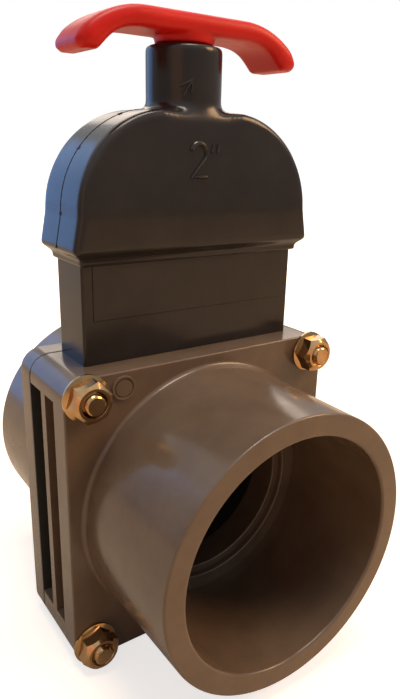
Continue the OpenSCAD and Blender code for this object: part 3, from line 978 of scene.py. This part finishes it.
# Red moulded plastic with a satin gloss: even colour, soft highlights along the rounded edges.
red = moulded_plastic(
    "moulded_red_plastic", "CC1C17", "C01814", (0.36, 0.46), 1.32, wave_depth=0.01, grain_depth=0.001
)
clothe(grip, red)
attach(grip, "gate")
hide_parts("handle")

# Bolts and flange nuts: steel with a yellow-passivated zinc coat, which gives a warm gold with
# dark reflections. The heads sit in the rear plate's pockets and the nuts clamp the front.
nut_h = 5.6 * mm
nut_w = 9.5 * mm
bolt_r = 2.5 * mm
bolt_out = 0.9 * mm
bolt_end = plate_out + nut_h + bolt_out
nut_end = -plate_out - nut_h
nut_flange_r = 6 * mm
nut_rim_t = 0.6 * mm
nut_cone_h = 0.4 * mm
nut_corner_turn = 1.4 * mm
head_corner_turn = 0.6 * mm


def grow_end(piece, y, push, scale):
    """Extrudes a bar's flat end along the pipe and scales the new end."""
    choose(
        piece,
        "FACE",
        lambda face: abs(face.normal.y) > 0.9 and abs(face.calc_center_median().y - y) < hair,
    )
    bpy.ops.mesh.extrude_region_move(TRANSFORM_OT_translate={"value": (0, push, 0)})
    bpy.ops.transform.resize(value=(scale, 1, scale), center_override=(0, y + push, 0))
    bpy.ops.object.mode_set(mode="OBJECT")


def hexagon(name, width, corner_turn, y0, y1):
    """A hexagonal block along the pipe, its corners turned down at the second end."""
    corner = width / 2 / math.cos(math.radians(30))
    turn_h = math.copysign(corner_turn, y1 - y0)
    lathe = pipe_wise("lathe", corner, y0, y1 - turn_h, 0, 0, 96)
    grow_end(lathe, y1 - turn_h, turn_h, 1 - corner_turn / corner)
    block = pipe_wise(name, corner, y0, y1, 0, 0, 6, math.radians(30))
    combine(block, lathe, "INTERSECT")
    return block


def yellow_zinc():
    material, tree = new_material("yellow_passivated_zinc")
    place = add_node(tree, "ShaderNodeTexCoord").outputs["Object"]
    tint = add_node(tree, "ShaderNodeTexNoise", {"Vector": place, "Scale": 1000 / 4, "Detail": 3.0})
    gold = add_node(
        tree,
        "ShaderNodeMix",
        {"Factor": tint.outputs[0], 6: linear("8A6844"), 7: linear("C8A67A")},
        data_type="RGBA",
    )
    pickle = add_node(tree, "ShaderNodeTexNoise", {"Vector": place, "Scale": 1000 / 0.4, "Detail": 4.0})
    dullness = add_node(
        tree, "ShaderNodeMapRange", {"Value": pickle.outputs[0], "To Min": 0.07, "To Max": 0.2}
    )
    bump = add_node(
        tree, "ShaderNodeBump", {"Height": pickle.outputs[0], "Strength": 0.5, "Distance": 0.01 * mm}
    )
    surface = add_node(
        tree,
        "ShaderNodeBsdfPrincipled",
        {
            "Base Color": gold.outputs[2],
            "Metallic": 1.0,
            "Roughness": dullness.outputs[0],
            "Normal": bump.outputs[0],
        },
    )
    add_node(tree, "ShaderNodeOutputMaterial", {"Surface": surface.outputs[0]})
    return material


zinc = yellow_zinc()
rim_y = -plate_out - nut_rim_t
flange_nut = pipe_wise("flange_nut", nut_flange_r, -plate_out, rim_y, 0, 0, 96)
grow_end(flange_nut, rim_y, -nut_cone_h, nut_w / 2 / nut_flange_r)
block = hexagon("hexagon", nut_w, nut_corner_turn, -plate_out - nut_rim_t / 2, nut_end)
combine(flange_nut, block, "UNION")
thread_way = pipe_wise("thread_way", bolt_r + fit_gap, 0, nut_end - past, 0, 0, 48)
combine(flange_nut, thread_way, "DIFFERENCE")
countersink_r = 3.5 * mm
mouth_foot = nut_end + 0.8 * mm
thread_mouth = pipe_wise("thread_mouth", bolt_r, mouth_foot + past, mouth_foot, 0, 0, 48)
grow_end(thread_mouth, mouth_foot, -0.9 * mm, countersink_r / bolt_r)
combine(flange_nut, thread_mouth, "DIFFERENCE")
finish(flange_nut, 25)

root_share = 0.9
thread_step = 0.35 * mm
thread_y = nut_end + 1.1 * mm
screw = pipe_wise("screw", bolt_r * root_share, seat_y + overlap, thread_y, 0, 0, 48)
for i in range(5):
    grow_end(screw, thread_y, -thread_step, root_share if i % 2 else 1 / root_share)
    thread_y -= thread_step
grow_end(screw, thread_y, -bolt_end - thread_y, 0.86)
combine(screw, hexagon("head", head_w, head_corner_turn, seat_y, seat_y + head_h), "UNION")
finish(screw, 25)

labels = ("top_left", "top_right", "foot_left", "foot_right")
nut_turns = (14, 2, 18, 47)
for label, (x, z), turn in zip(labels, corners, nut_turns):
    for first, kind, angle in ((flange_nut, "nut_", turn), (screw, "bolt_", 0)):
        piece = first.copy()
        piece.data = first.data.copy()
        piece.name = kind + label + "_detailed"
        bpy.context.collection.objects.link(piece)
        piece.rotation_euler = (0, -math.radians(angle), 0)
        piece.location = (x, 0, z)
        select_only(piece)
        bpy.ops.object.transform_apply(location=True, rotation=True, scale=True)
        clothe(piece, zinc)
        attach(piece, "valve_body")
        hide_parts(kind + label)
bpy.data.objects.remove(flange_nut)
bpy.data.objects.remove(screw)
